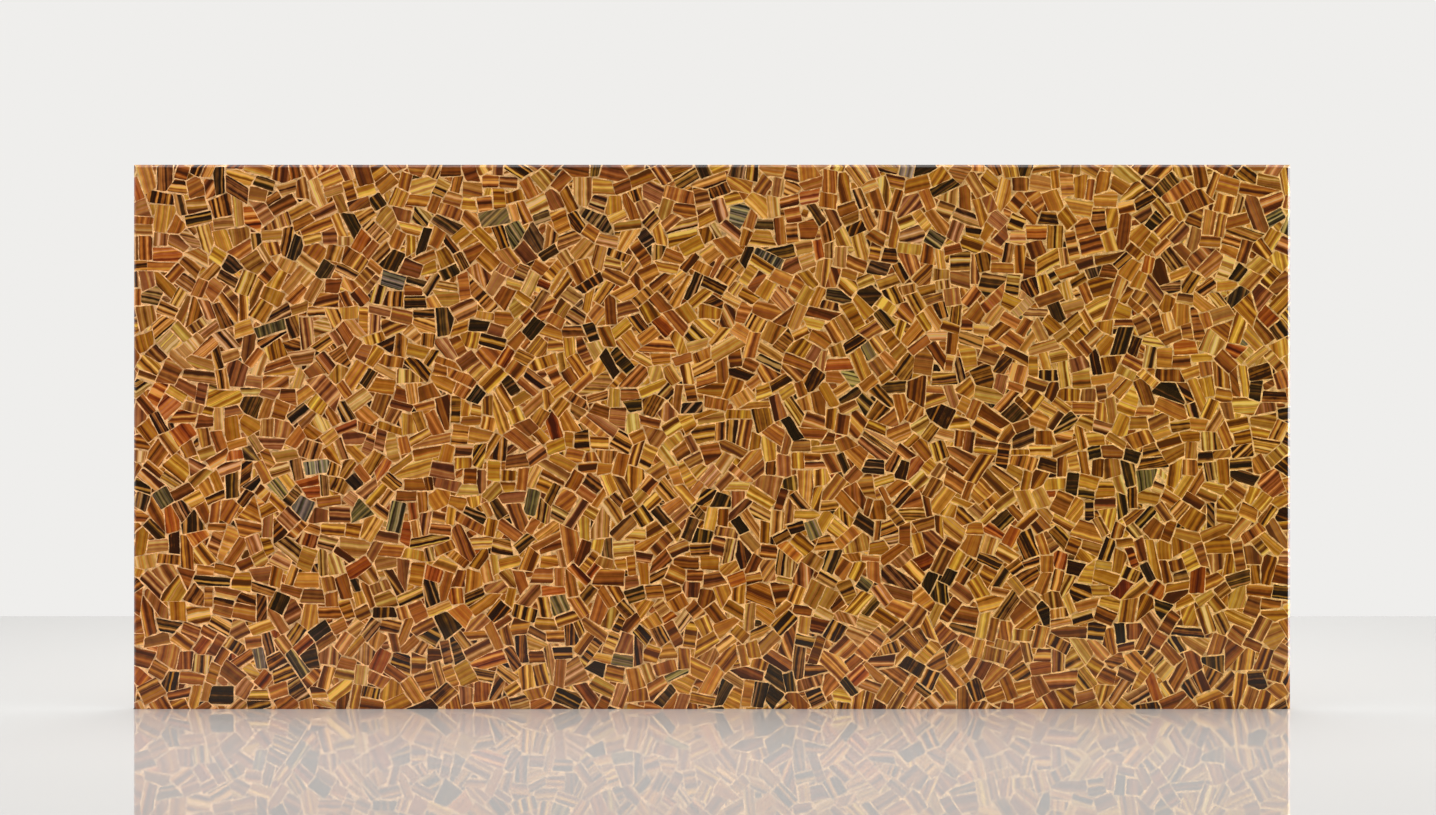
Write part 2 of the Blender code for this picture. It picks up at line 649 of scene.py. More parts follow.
def front_patches(stones):
    """The flat of the front and the three eased edges that slope back from it.

    The chips' walls run straight back into the slab, so an eased edge shows each outline
    unchanged when seen from the front.
    """
    flat_x, flat_z = HALF_LENGTH - ARRIS, HEIGHT - ARRIS
    corner = flat_z - flat_x
    face = -HALF_THICKNESS
    plans = (
        ([(1, 0, flat_x), (-1, 0, flat_x), (0, 1, flat_z), (0, -1, 0)],
         (0, face, 0), (1, 0, 0), (0, 0, 1)),
        ([(-1, 0, -flat_x), (1, 0, HALF_LENGTH), (0, -1, 0), (-1, 1, corner)],
         (0, face - flat_x, 0), (1, 1, 0), (0, 0, 1)),
        ([(1, 0, -flat_x), (-1, 0, HALF_LENGTH), (0, -1, 0), (1, 1, corner)],
         (0, face - flat_x, 0), (1, -1, 0), (0, 0, 1)),
        ([(0, -1, -flat_z), (0, 1, HEIGHT), (1, -1, -corner), (-1, -1, -corner)],
         (0, face - flat_z, 0), (1, 0, 0), (0, 1, 1)),
    )
    return [Patch(*kept_part(stones.outlines, cuts), origin, across, up)
            for cuts, origin, across, up in plans]


def back_patches(stones):
    """The flat back, seen from behind, so its own u runs towards -X."""
    cuts = [(1, 0, HALF_LENGTH), (-1, 0, HALF_LENGTH), (0, 1, HEIGHT), (0, -1, 0)]
    outlines, chip = kept_part(stones.outlines, cuts)
    return [Patch(outlines, chip, (0, HALF_THICKNESS, 0), (-1, 0, 0), (0, 0, 1))]


NARROWEST = 4.0  # the least width, in millimetres, that a chip shows along an edge


def crossings(outlines, axis, level):
    """The lowest and highest place where each outline crosses a level line.

    Each side that spans the level meets it at a straight proportion of its length.
    Outlines that don't reach the line give nothing. Returns low, high and their indices.
    """
    real, _, following = next_corners(outlines)
    start, end = outlines.corners[..., axis] - level, following[..., axis] - level
    spans = real & (start * end < 0)
    share = np.where(spans, start / np.where(spans, start - end, 1), 0)
    here, there = outlines.corners[..., 1 - axis], following[..., 1 - axis]
    met = here + share * (there - here)
    low = np.where(spans, met, np.inf).min(1)
    high = np.where(spans, met, -np.inf).max(1)
    found = np.flatnonzero(high - low > NARROWEST)
    return low[found], high[found], found


# Waves along a sawn edge: length over 2 pi in millimetres, start in radians, and height.
SEAM_WAVES = ((61.0, 0.0, 1.0), (23.0, 1.3, 0.7), (137.0, 0.0, 0.5))
LEAN_WAVES = ((17.0, 0.5, 2.5), (41.0, 0.0, 1.5))
SEAM_LEVEL, SEAM_SWING = 0.58, 0.12  # shares of the thickness


def waved(place, waves):
    """The sum of sine waves along an edge."""
    return sum(height * np.sin(place / length + start) for length, start, height in waves)


def seam_depth(place):
    """Depth of the wavy joint between front and back chips, along a sawn edge."""
    return THICKNESS * (SEAM_LEVEL + SEAM_SWING * waved(place, SEAM_WAVES))


def edge_patches(stones, joint, depth):
    """The sawn ends, top and bottom, where each chip shows from its own face to the seam.

    At a square fold the chips of the face show their own sides down to the chip depth, so
    the edge chips start there; past an eased edge they start where it ends.
    """
    side, half, front, least_area = stones.side, HALF_THICKNESS, stones.side > 0, 10.0
    along_x, depthwise, upright = (1, 0, 0), (0, 1, 0), (0, 0, 1)
    right, left = (depthwise, upright), (upright, depthwise)
    first, second = (right, left) if front else (left, right)
    plans = (
        # axis and place of the sawn line in the layer, origin, across, up
        (0, HALF_LENGTH, (side * HALF_LENGTH, -half, 0), *first),
        (0, -HALF_LENGTH, (-side * HALF_LENGTH, -half, 0), *second),
        (1, HEIGHT, (0, -half, HEIGHT), along_x, depthwise),
        (1, 0.0, (0, -half, 0), depthwise, along_x),
    )
    patches = []
    for axis, level, origin, across, up in plans:
        low, high, chip = crossings(stones.outlines, axis, level)
        if axis == 1 and not front:
            low, high = -high, -low  # the back's own u runs towards -X
        limit = (0.0, HEIGHT) if axis == 0 else (-HALF_LENGTH, HALF_LENGTH)
        low, high = np.clip(low, *limit), np.clip(high, *limit)
        keep = high - low > NARROWEST
        low, high, chip = low[keep], high[keep], chip[keep]
        if front:
            start, gap = depth if level == 0 else ARRIS, joint / 2
        else:
            start, gap = THICKNESS - depth, -joint / 2
        # Joints between chips lean over a little on their way from the face to the seam.
        inner = [np.stack([np.clip(place + waved(place, LEAN_WAVES), *limit),
                           seam_depth(place) - gap], -1) for place in (high, low)]
        outer = [np.stack([place, np.full(len(place), start)], -1) for place in (low, high)]
        corners = np.stack(outer + inner, 1)
        # (place, depth) is anticlockwise for the front row and clockwise for the back row.
        if not front:
            corners = corners[:, ::-1]
        if across == depthwise:
            # u is the depth here, so the two coordinates and the order both turn round.
            corners = corners[:, ::-1, ::-1]
        outlines = Outlines(corners, np.full(len(low), 4))
        good = area_and_centre(outlines)[0] > least_area
        patches.append(Patch(outlines.only(good), chip[good], origin, across, up))
    return patches


class Chips(NamedTuple):
    """Arrays of closed chips, ready to be joined with others into one mesh."""

    points: np.ndarray  # places of the vertices
    loops: np.ndarray  # vertex of each face corner
    sizes: np.ndarray  # corners of each face
    slots: np.ndarray  # material slot of each face
    grain: np.ndarray  # along and across the bands, by face corner
    unfolded: np.ndarray  # each chip laid flat, by face corner
    island: np.ndarray  # which chip, by face corner
    tone: np.ndarray  # the stone's tone, by vertex


def chips_on(patch, stones, kinds, depth):
    """Closed chips of some kinds of stone, whose tops lie on the patch.

    Each chip is its outline and the same outline at full depth: a top, a bottom and a
    wall of quads. Unfolded, the wall lies round the top, with each corner moved out by
    width * (n + m) / (1 + n . m), for the unit normals n and m of its two sides, and by
    less at a corner so sharp that the divisor would be under a half.
    """
    wall_width, least_divisor = 0.8, 0.5
    wanted = np.isin(stones.kind[patch.chip], kinds)
    (corners, count), chip = patch.outlines.only(wanted), patch.chip[wanted]
    real, after, following = next_corners(Outlines(corners, count))
    ahead = following - corners
    ahead = np.stack([ahead[..., 1], -ahead[..., 0]], -1)
    ahead = ahead / np.maximum(np.linalg.norm(ahead, axis=-1), 1e-9)[..., None]
    behind = np.zeros_like(ahead)
    behind[np.nonzero(real)[0], after[real]] = ahead[real]
    outline, ahead, behind = corners[real], ahead[real], behind[real]
    outward = (ahead + behind) / np.maximum(
        1 + (ahead * behind).sum(1), least_divisor)[:, None]

    total = len(outline)
    first = np.cumsum(count) - count
    here = np.arange(total)
    beyond = (first[:, None] + after)[real]
    opposite = np.repeat(2 * first + count - 1, count) - here
    wall = np.stack([here, here + total, beyond + total, beyond], -1).ravel()
    loops = np.concatenate([here, opposite + total, wall])

    origin, across, up = (np.array(v, float) for v in (patch.origin, patch.across, patch.up))
    inward = np.cross(up, across)
    inward = inward / np.linalg.norm(inward)
    top = origin + outline[:, :1] * across + outline[:, 1:] * up
    points = np.concatenate([top, top + inward * depth])

    owner = np.tile(np.repeat(chip, count), 2)
    from_middle = np.stack([stones.side * points[:, 0], points[:, 2]], -1) - stones.centre[owner]
    deep = HALF_THICKNESS + stones.side * points[:, 1]
    along, over = turned_by(from_middle[:, None], -stones.band_angle[owner])[:, 0].T
    grain = np.stack([along, over + stones.dip[owner] * deep], -1) + stones.shift[owner]

    lie = -stones.long_angle[np.repeat(chip, count)]
    laid = turned_by(outline[:, None], lie)[:, 0]
    rim = laid + turned_by(outward[:, None], lie)[:, 0] * wall_width
    round_top = np.stack([laid, rim, rim[beyond], laid[beyond]], 1).reshape(-1, 2)
    number = np.repeat(np.arange(len(count)), count)
    slot = np.argmax(stones.kind[chip][:, None] == np.array(kinds), axis=1)
    return Chips(
        points, loops,
        sizes=np.concatenate([count, count, np.full(total, 4)]),
        slots=np.concatenate([slot, slot, np.repeat(slot, count)]),
        grain=grain[loops],
        unfolded=np.concatenate([laid, laid[opposite], round_top]),
        island=np.concatenate([number, number, np.repeat(number, 4)]),
        tone=stones.tone[owner],
    )


def joined_chips(parts):
    """Several arrays of chips as one."""
    columns = [list(column) for column in zip(*parts)]
    fields = dict(zip(Chips._fields, columns))
    for name, sizes in (("loops", [len(p.points) for p in parts]),
                        ("island", [p.island.max(initial=-1) + 1 for p in parts])):
        shifts = np.cumsum([0] + sizes[:-1])
        fields[name] = [values + shift for values, shift in zip(fields[name], shifts)]
    return Chips(**{name: np.concatenate(values) for name, values in fields.items()})


def laid_on_shelves(unfolded, island, gap):
    """Set the unfolded chips side by side in a square, scaled to run from 0 to 1.

    Chips are sorted by height and put in rows, each as high as its first chip, and the
    square grows until the rows fit it.
    """
    number, grow = island.max() + 1, 1.01
    low = np.full((number, 2), np.inf)
    high = np.full((number, 2), -np.inf)
    np.minimum.at(low, island, unfolded)
    np.maximum.at(high, island, unfolded)
    size = high - low + gap
    order = np.argsort(-size[:, 1], kind="stable")
    start = np.cumsum(size[order, 0]) - size[order, 0]
    side = math.sqrt(size.prod(1).sum())
    while True:
        row = (start / (side - size[:, 0].max())).astype(int)
        opens = np.flatnonzero(np.diff(row, prepend=-1))
        heights = size[order[opens], 1]
        if heights.sum() <= side:
            break
        side *= grow
    place = np.empty((number, 2))
    row = np.cumsum(np.diff(row, prepend=-1) > 0) - 1
    place[order, 0] = start - start[opens][row]
    place[order, 1] = (np.cumsum(heights) - heights)[row]
    return (unfolded - low[island] + place[island] + gap / 2) / side


def chip_piece(name, groups, kinds, materials, depth):
    """Join the chips of some kinds from several (patch, layer) groups into one object.

    The map "grain" holds how far each point lies along and across the bands, and the
    attribute "tone" holds the chip's light, yellow, iron and contrast; its light and yellow
    carry painted light, shade and sheen besides the stone's own tone. The map "OFBake" gives
    every chip a place of its own.
    """
    chips = joined_chips([chips_on(patch, stones, kinds, depth) for patch, stones in groups])
    mesh = mesh_from_arrays(name, chips.points * MM, chips.loops, chips.sizes)
    mesh.polygons.foreach_set("material_index", chips.slots.astype(np.int32))
    own_place = laid_on_shelves(chips.unfolded, chips.island, gap=3.0)
    for map_name, values in (("grain", chips.grain * MM), ("OFBake", own_place)):
        flat_map = mesh.uv_layers.new(name=map_name)
        flat_map.data.foreach_set("uv", values.astype(np.float32).ravel())
    tone = mesh.attributes.new("tone", "FLOAT_COLOR", "POINT")
    tone.data.foreach_set("color", chips.tone.astype(np.float32).ravel())
    for kind in kinds:
        mesh.materials.append(materials[kind])
    return new_piece(name, mesh)


def mesh_from_arrays(name, points, loops, sizes):
    """A mesh of faces with any number of corners, from flat arrays."""
    mesh = bpy.data.meshes.new(name)
    mesh.vertices.add(len(points))
    mesh.vertices.foreach_set("co", points.astype(np.float32).ravel())
    mesh.loops.add(len(loops))
    mesh.loops.foreach_set("vertex_index", loops.astype(np.int32))
    mesh.polygons.add(len(sizes))
    mesh.polygons.foreach_set("loop_start", (np.cumsum(sizes) - sizes).astype(np.int32))
    mesh.update(calc_edges=True)
    mesh.shade_flat()
    return mesh


def new_piece(name, mesh):
    """Link a finished piece to the scene and fix it to the slab's body."""
    piece = bpy.data.objects.new(name, mesh)
    bpy.context.scene.collection.objects.link(piece)
    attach(piece, BODY)
    return piece


def resin_plate_mesh(recess):
    """The slab's own form, drawn in by the recess on all sides, as nine faces.

    Three rectangles lie one behind another: the front flat, which is the back's rectangle
    less the eased edge on three sides, the back ends of the slopes, and the back. A slope
    that moves in by the recess leaves (2 - sqrt 2) times the recess less of its width.
    """
    x, y, low, high = HALF_LENGTH - recess, HALF_THICKNESS - recess, recess, HEIGHT - recess
    ease = ARRIS - recess * (2 - math.sqrt(2))

    def ring(x, y, high):
        return [(-x, y, low), (x, y, low), (x, y, high), (-x, y, high)]

    points = ring(x - ease, -y, high - ease) + ring(x, ease - y, high) + ring(x, y, high)
    faces = [(0, 1, 2, 3), (1, 5, 6, 2), (2, 6, 7, 3), (3, 7, 4, 0), (5, 9, 10, 6),
             (6, 10, 11, 7), (7, 11, 8, 4), (9, 8, 11, 10), (0, 4, 8, 9, 5, 1)]
    mesh = bpy.data.meshes.new("resin_plate")
    mesh.from_pydata([tuple(c * MM for c in p) for p in points], [], faces)
    mesh.update()
    return mesh


# --------------------------------------------------------------------------- materials


def node(tree, kind, inputs=None, **settings):
    """Add a node, set its own settings, then set or link its inputs by name or number.

    A node that is given as an input is linked from its first output.
    """
    made = tree.nodes.new(kind)
    for key, value in settings.items():
        setattr(made, key, value)
    for key, value in (inputs or {}).items():
        if isinstance(value, bpy.types.Node):
            value = value.outputs[0]
        if isinstance(value, bpy.types.NodeSocket):
            tree.links.new(value, made.inputs[key])
        else:
            made.inputs[key].default_value = value
    return made


def empty_material(name):
    """A node material with nothing in it, and its tree."""
    material = bpy.data.materials.new(name)
    material.use_nodes = True
    material.node_tree.nodes.clear()
    return material, material.node_tree


def summed(tree, start, *terms):
    """The start plus each value times its weight, given as (value, weight)."""
    for value, weight in terms:
        start = node(tree, "ShaderNodeMath", {0: value, 1: weight, 2: start},
                     operation="MULTIPLY_ADD")
    return start


def band_ramp(tree, value, stops):
    """A colour ramp through (position, hex) stops."""
    ramp = node(tree, "ShaderNodeValToRGB", {"Fac": value})
    elements = ramp.color_ramp.elements
    while len(elements) < len(stops):
        elements.new(1.0)
    for element, (position, code) in zip(elements, stops):
        element.position = position
        element.color = (*linear(code), 1.0)
    return ramp


QUARTZ_IOR = 1.544
RESIN_IOR = 1.56
POLISH = 0.35  # share of the mirror gloss, 0.5 for a perfect polish
BAND_SHADES = 5  # shades that the bands of a chip keep to
BAND_CRISPNESS = 0.75  # 0 for soft bands, 1 for the crispest

# Patches in the stone, and soft patches of painted sheen that stand for the chatoyant glow of the
# fibres: size along and across the bands in millimetres, and detail.
SWAY_NOISE, SILK_NOISE, SHEEN_NOISE = (40, 20, 2.0), (1.1, 8, 2.0), (20, 26, 1.5)
# Bands: width in millimetres, detail, and where their noise starts. The lines inside the
# broad bands are one to two millimetres wide.
BROAD_DETAIL, LINES, STAIN_BANDS, FIBRE_BANDS = 1.4, (2.4, 1.5, 3.1), (6, 1.0, 7.7), (5, 1.0, 11.3)
SWAY_MM = 4.5  # how far the bands sway from straight, over the whole range of the noise

# What each thing adds to the place on a stone's colour ramp, which runs from 0 to 1. The fourth is
# painted sheen, soft patches of chatoyant highlight, and the fifth brings the chip's light tone,
# which carries painted light from above and a patch of painted shade.
CONTRAST_GAIN, LEAST_LINES, SILK, SHEEN, LIGHT, BLACK_IRON = 1.7, 0.22, 0.06, 0.24, 0.60, -0.30
# Powers of a chip's own contrast and iron, and of its want of iron: the higher, the rarer.
LINES_POWER, BLACK_POWER, FIBRE_POWER = 2.0, 9.0, 2.5
STAIN_START, STAIN_YELLOW, STAIN_GAIN, FIBRE_GAIN, ROUGH_GAIN = -0.10, 1.1, 4.0, 3.0, 0.08

# Factors on red, green and blue: rosy to yellow stain, and plain to olive grey fibres.
STAINS = ((1.10, 0.885, 0.76, 1), (1.01, 1.05, 0.48, 1))
FIBRES = ((1.04, 0.99, 0.80, 1), (0.88, 1.01, 2.00, 1))


def tigers_eye(name, stops, band_mm, lines, roughness):
    """Tiger's eye: quartz grown round parallel fibres of crocidolite.

    Iron stains the fibres from straw gold to brown and, where they are thickest, almost
    black, in bands a few millimetres wide. To the eye: dark bands with crisp edges beside
    tan, rosy and yellow ones, and silky gold. Soft patches of painted sheen brighten it as
    the chatoyant glow of the fibres would.
    """
    material, tree = empty_material(name)

    def noise(along_mm, across_mm, detail):
        """Noise over the grain, centred on nought, for a size along and across."""
        scale = (1 / (along_mm * MM), 1 / (across_mm * MM), 1)
        scaled = node(tree, "ShaderNodeMapping", {"Vector": grain, "Scale": scale})
        made = node(tree, "ShaderNodeTexNoise", {"Vector": scaled, "Scale": 1.0,
                                                 "Detail": detail}, noise_dimensions="2D")
        return node(tree, "ShaderNodeMath", {0: made, 1: 0.5}, operation="SUBTRACT")

    def bands(size_mm, detail, seed):
        """Noise across the bands alone, centred on nought, for a band of so many mm."""
        where = node(tree, "ShaderNodeMath", {0: place, 1: seed}, operation="ADD")
        made = node(tree, "ShaderNodeTexNoise", {
            "W": where, "Scale": 1 / (size_mm * MM), "Detail": detail, "Roughness": 0.6},
            noise_dimensions="1D")
        return node(tree, "ShaderNodeMath", {0: made, 1: 0.5}, operation="SUBTRACT")

    grain = node(tree, "ShaderNodeUVMap", uv_map="grain")
    across = node(tree, "ShaderNodeSeparateXYZ", {0: grain}).outputs["Y"]
    tone = node(tree, "ShaderNodeAttribute", attribute_name="tone")
    light, yellow, iron = node(tree, "ShaderNodeSeparateColor", {0: tone}).outputs[:3]
    contrast = tone.outputs["Alpha"]

    # Most chips have little contrast and iron, and a few have much.
    lack = node(tree, "ShaderNodeMath", {0: 1.0, 1: iron}, operation="SUBTRACT")
    lined, blackened, fibrous = (
        node(tree, "ShaderNodeMath", {0: amount, 1: power}, operation="POWER")
        for amount, power in ((contrast, LINES_POWER), (iron, BLACK_POWER), (lack, FIBRE_POWER)))

    place = summed(tree, across, (noise(*SWAY_NOISE), SWAY_MM * MM))
    broad, fine = bands(band_mm, BROAD_DETAIL, 0.0), bands(*LINES)
    value = summed(tree, 0.5, (broad, summed(tree, 1.0, (contrast, CONTRAST_GAIN))),
                   (fine, summed(tree, LEAST_LINES, (lined, lines))))

    # A sine taken off the value evens each band out and leaves its edges steep.
    turns = 2 * math.pi * BAND_SHADES
    phase = node(tree, "ShaderNodeMath", {0: value, 1: turns}, operation="MULTIPLY")
    wave = node(tree, "ShaderNodeMath", {0: phase}, operation="SINE")
    # The chip's light tone carries painted light, paler towards the top of the slab, and painted
    # shade low on its right; the sheen noise paints soft chatoyant highlights.
    light_and_shade = node(tree, "ShaderNodeMath", {0: light, 1: 0.5}, operation="SUBTRACT")
    value = summed(tree, value, (wave, -BAND_CRISPNESS / turns), (noise(*SILK_NOISE), SILK),
                   (noise(*SHEEN_NOISE), SHEEN), (light_and_shade, LIGHT), (blackened, BLACK_IRON))
    colour = band_ramp(tree, value, stops)

    # Iron stains some bands rosy brown and leaves others yellow. Where it was scarce the
    # stone keeps some of the olive grey of its fibres.
    # The yellow tone that tips the stain carries the painted golden sheen as well as the stone's own
    # tone.
    stain = summed(tree, summed(tree, STAIN_START, (yellow, STAIN_YELLOW)),
                   (bands(*STAIN_BANDS), STAIN_GAIN))
    scarce = summed(tree, fibrous, (bands(*FIBRE_BANDS), FIBRE_GAIN))
    for share, (start, end) in ((stain, STAINS), (scarce, FIBRES)):
        tint = node(tree, "ShaderNodeMix", {"Factor": share, 6: start, 7: end}, data_type="RGBA")
        colour = node(tree, "ShaderNodeMix", {"Factor": 1.0, 6: colour, 7: tint.outputs[2]},
                      data_type="RGBA", blend_type="MULTIPLY").outputs[2]
    surface = node(tree, "ShaderNodeBsdfPrincipled", {
        "Base Color": colour, "Roughness": summed(tree, roughness, (fine, ROUGH_GAIN)),
        "IOR": QUARTZ_IOR, "Specular IOR Level": POLISH})
    node(tree, "ShaderNodeOutputMaterial", {"Surface": surface})
    return material


CRUMB_MM, CLOUD_MM = 1.8, 14.0  # sizes of the grit in the resin and of its clouds
CRUMB_SHADES, CLOUD_SHADES = (0.84, 1.16), (0.05, 1.95)  # darkest and lightest, as factors
# The share of the grit that is brown, from not at all to fully, and how brown it is.
BROWN_FROM, BROWN_TO, BROWNEST = 0.14, 0.10, 0.5
RESIN_ROUGHNESS = 0.22


def cast_resin(name, left, right, grit):
    """Polyester resin clouded with stone dust: pale, flat and slightly grainy.

    To the eye: peach at one end of the slab drifting to straw at the other, with grit of
    half a millimetre to three millimetres sunk in it, some of it brown.
    """
    material, tree = empty_material(name)
    place = node(tree, "ShaderNodeTexCoord").outputs["Object"]
    along = node(tree, "ShaderNodeSeparateXYZ", {0: place})
    drift = node(tree, "ShaderNodeMapRange", {
        0: along, 1: -HALF_LENGTH * MM, 2: HALF_LENGTH * MM, 3: 0.0, 4: 1.0})
    base = node(tree, "ShaderNodeMix", {"Factor": drift, 6: (*linear(left), 1),
                                        7: (*linear(right), 1)}, data_type="RGBA").outputs[2]
    crumbs = node(tree, "ShaderNodeTexVoronoi", {"Vector": place, "Scale": 1 / (CRUMB_MM * MM)})
    crumb = node(tree, "ShaderNodeSeparateColor", {0: crumbs.outputs["Color"]})
    cloud = node(tree, "ShaderNodeTexNoise", {
        "Vector": place, "Scale": 1 / (CLOUD_MM * MM), "Detail": 1.0})
    for value, (low, high) in ((crumb, CRUMB_SHADES), (cloud, CLOUD_SHADES)):
        shade = node(tree, "ShaderNodeMapRange", {0: value, 1: 0.0, 2: 1.0, 3: low, 4: high})
        base = node(tree, "ShaderNodeMix", {"Factor": 1.0, 6: base, 7: shade},
                    data_type="RGBA", blend_type="MULTIPLY").outputs[2]
    brown = node(tree, "ShaderNodeMapRange", {
        0: crumb, 1: BROWN_FROM, 2: BROWN_TO, 3: 0.0, 4: BROWNEST})
    base = node(tree, "ShaderNodeMix", {"Factor": brown, 6: base, 7: (*linear(grit), 1)},
                data_type="RGBA").outputs[2]
    surface = node(tree, "ShaderNodeBsdfPrincipled", {
        "Base Color": base, "Roughness": RESIN_ROUGHNESS, "IOR": RESIN_IOR})
    node(tree, "ShaderNodeOutputMaterial", {"Surface": surface})
    return material


class Stone(NamedTuple):
    """How one kind of stone is banded: colour stops, band width and strength of its lines."""

    stops: list
    band_mm: float
    lines: float


STONES = {
    GOLDEN: Stone([(0.00, "#52290B"), (0.16, "#713D0F"), (0.28, "#8E5419"), (0.44, "#A16824"),
                   (0.60, "#B57F34"), (0.78, "#D09D48"), (1.00, "#F0C473")], 16.0, 0.70),
    BROWN: Stone([(0.00, "#401F0A"), (0.18, "#5B2E11"), (0.32, "#784119"), (0.46, "#8D5021"),
                  (0.62, "#A5682E"), (0.80, "#C28640"), (1.00, "#E2AC64")], 17.0, 0.55),
    STRIPED: Stone([(0.00, "#261307"), (0.33, "#321B09"), (0.39, "#673A15"), (0.50, "#845120"),
                    (0.62, "#A76F31"), (0.78, "#C49045"), (1.00, "#E4B870")], 13.0, 0.60),
    DARK: Stone([(0.00, "#1F1408"), (0.40, "#2B1C0B"), (0.50, "#3E2912"), (0.60, "#553719"),
                 (0.76, "#855A2A"), (1.00, "#BC9150")], 12.0, 0.40),
    RED: Stone([(0.00, "#401807"), (0.20, "#63280C"), (0.34, "#853D14"), (0.50, "#994E1E"),
                (0.66, "#B4682D"), (0.84, "#CA8542"), (1.00, "#E2A764")], 16.0, 0.30),
    HAWK: Stone([(0.00, "#261E14"), (0.26, "#3C3222"), (0.40, "#574A34"), (0.56, "#726144"),
                 (0.72, "#8A7650"), (0.88, "#A2895C"), (1.00, "#BCA374")], 10.0, 0.45),
}


POLISHED, HONED = 0.10, 0.42  # roughness of the front, and of the back and the edges


@functools.lru_cache(maxsize=2)
def stone_materials(finish, roughness):
    """One material for each kind of stone, in the order of the kinds."""
    return [tigers_eye(f"{finish} tigers eye, {KIND_NAMES[kind]}", *STONES[kind], roughness)
            for kind in range(len(KIND_NAMES))]


# ---------------------------------------------------------------------------- settings


class SlabMosaicSettings(bpy.types.PropertyGroup):
    """Sizes of the chips and of the joints between them."""

    seed: bpy.props.IntProperty(
        name="Seed", description="Which random mosaic is laid", default=7, min=0)
    chip_size: bpy.props.FloatProperty(
        name="Chip pitch", description="Mean distance between chips",
        default=47.0 * MM, min=20 * MM, max=80 * MM, subtype="DISTANCE", unit="LENGTH")
    joint: bpy.props.FloatProperty(
        name="Joint", description="Width of the resin between two chips",
        default=1.6 * MM, min=0.5 * MM, max=8 * MM, subtype="DISTANCE", unit="LENGTH")
    recess: bpy.props.FloatProperty(
        name="Recess", description="How far the softer resin polishes below the stone",
        default=0.12 * MM, min=0.05 * MM, max=1 * MM, subtype="DISTANCE", unit="LENGTH")
    depth: bpy.props.FloatProperty(
        name="Chip depth", description="How deep the modelled part of a chip reaches",
        default=1.5 * MM, min=0.5 * MM, max=5 * MM, subtype="DISTANCE", unit="LENGTH")


class SlabColourSettings(bpy.types.PropertyGroup):
    """Colours that a user would change first."""

    floor: bpy.props.FloatVectorProperty(
        name="Floor", description="Colour of the studio floor", subtype="COLOR",
        default=linear("#E9E8E6"), size=3, min=0, max=1)
    backdrop: bpy.props.FloatVectorProperty(
        name="Backdrop", description="Colour behind the slab", subtype="COLOR",
        default=linear("#EFEEEC"), size=3, min=0, max=1)


def mosaic_numbers(settings):
    """Seed, pitch and joint as the mosaic functions take them, in millimetres."""
    return settings.seed, round(settings.chip_size / MM, 3), round(settings.joint / MM, 3)


# --------------------------------------------------------------------------- operators


class CastResinPlate(bpy.types.Operator):
    """Cast the resin plate that stands in for the CAD slab between the chips"""

    bl_idname = "slab.cast_resin_plate"
    bl_label = "Cast the resin plate"

    def execute(self, context):
        settings = context.scene.slab_mosaic
        mesh = resin_plate_mesh(settings.recess / MM)
        mesh.materials.append(cast_resin("polished polyester resin with stone dust",
                                         "#E8B47C", "#E6B770", "#AC6C28"))
        plate = new_piece("resin_plate", mesh)
        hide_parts(SLAB_NODE)
        return {"FINISHED"}


class LayFrontChips(bpy.types.Operator):
    """Set the polished chips of the front and its eased edges, one piece for each stone"""

    bl_idname = "slab.lay_front_chips"
    bl_label = "Lay the front chips"

    def execute(self, context):
        settings = context.scene.slab_mosaic
        stones = layer(*mosaic_numbers(settings), 1)
        patches = front_patches(stones)
        materials = stone_materials("polished", POLISHED)
        for kind, kind_name in enumerate(KIND_NAMES):
            chip_piece(f"front_chips_{kind_name}", [(p, stones) for p in patches], [kind],
                       materials, settings.depth / MM)
        return {"FINISHED"}


class LayBackChips(bpy.types.Operator):
    """Set the honed chips of the back"""

    bl_idname = "slab.lay_back_chips"
    bl_label = "Lay the back chips"

    def execute(self, context):
        settings = context.scene.slab_mosaic
        stones = layer(*mosaic_numbers(settings), -1)
        patches = back_patches(stones)
        materials = stone_materials("honed", HONED)
        groups = {"golden": [GOLDEN], "brown": [BROWN, RED], "dark": [STRIPED, DARK, HAWK]}
        for name, kinds in groups.items():
            chip_piece(f"back_chips_{name}", [(p, stones) for p in patches], kinds,
                       materials, settings.depth / MM)
        return {"FINISHED"}


class LayEdgeChips(bpy.types.Operator):
    """Set the cut chips that show along the four sawn edges"""

    bl_idname = "slab.lay_edge_chips"
    bl_label = "Lay the edge chips"

    def execute(self, context):
        settings = context.scene.slab_mosaic
        numbers = mosaic_numbers(settings)
        depth = settings.depth / MM
        both = [layer(*numbers, side) for side in (1, -1)]
        groups = [(p, stones) for stones in both for p in edge_patches(stones, numbers[2], depth)]
        chip_piece("edge_chips", groups, list(range(len(KIND_NAMES))),
                   stone_materials("honed", HONED), depth)
        return {"FINISHED"}


def camera_place():
    """Camera place in metres and the focal length in pixels.

    The slab is seen square on, so its width in pixels gives the distance to its outline,
    which lies behind the eased edges, and its offset from the middle of the frame gives
    the camera's own offset and height.
    """
    metres_per_pixel = LENGTH * MM / SLAB_WIDTH_PX
    focal_px = FRAME_PX[0] * LENS_MM / SENSOR_MM
    distance = focal_px * metres_per_pixel
    x = (FRAME_PX[0] / 2 - SLAB_MIDDLE_PX) * metres_per_pixel
    z = (SLAB_BASE_PX - FRAME_PX[1] / 2) * metres_per_pixel
    return (x, (ARRIS - HALF_THICKNESS) * MM - distance, z), focal_px


